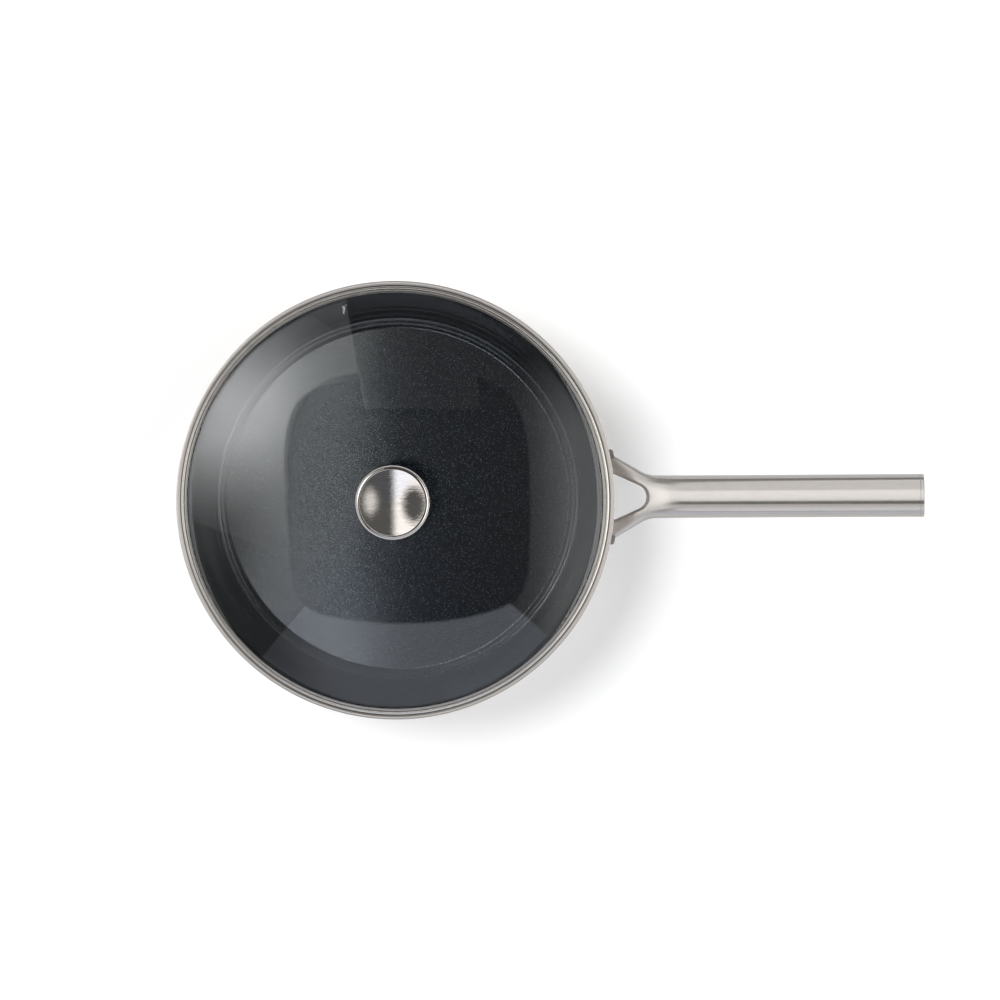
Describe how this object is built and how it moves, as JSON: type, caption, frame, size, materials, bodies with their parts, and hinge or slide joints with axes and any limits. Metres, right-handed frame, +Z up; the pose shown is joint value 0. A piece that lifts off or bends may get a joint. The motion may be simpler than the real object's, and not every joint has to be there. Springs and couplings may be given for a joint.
{
  "type": "skillet with lid",
  "caption": "Deep round steel skillet with a dark ceramic lining, a forked hollow steel handle and a domed glass lid with a steel band and a dished knob.",
  "frame": {"origin": "centre of the underside of the base, on the surface that the skillet stands on", "axes": "+Z up along the axis of the bowl, the lid and the knob; +X along the handle, away from the bowl"},
  "size_m": [0.4893, 0.289, 0.1276],
  "materials": {
    "pan_steel": "brushed round the pan",
    "dark_ceramic": "glossy with fine sparkle",
    "core_aluminium": "plain",
    "base_steel": "turned",
    "handle_steel": "brushed along the handle",
    "lid_glass": "clear, tempered",
    "band_steel": "satin",
    "knob_steel": "brushed straight across",
    "fastener_steel": "plain",
    "silicone": "matte"
  },
  "bodies": {
    "pan": {"pan_bowl": "pan_steel", "ceramic_coating": "dark_ceramic", "base_core": "core_aluminium", "base_cap": "base_steel", "handle": "handle_steel", "handle_end_cap": "handle_steel", "handle_foot_left": "handle_steel", "handle_foot_right": "handle_steel"},
    "lid": {"lid_glass": "lid_glass", "lid_band": "band_steel", "knob_cap": "knob_steel", "knob_body": "knob_steel", "knob_boss": "fastener_steel", "knob_gasket": "silicone", "glass_bush": "silicone", "lower_gasket": "silicone", "washer": "fastener_steel", "spring_washer": "fastener_steel", "knob_screw": "fastener_steel"}
  },
  "joints": [
    {"name": "lid_lift", "type": "slide", "parent": "pan", "child": "lid", "axis": [0, 0, 1], "range_m": [0, 0.12]}
  ]
}
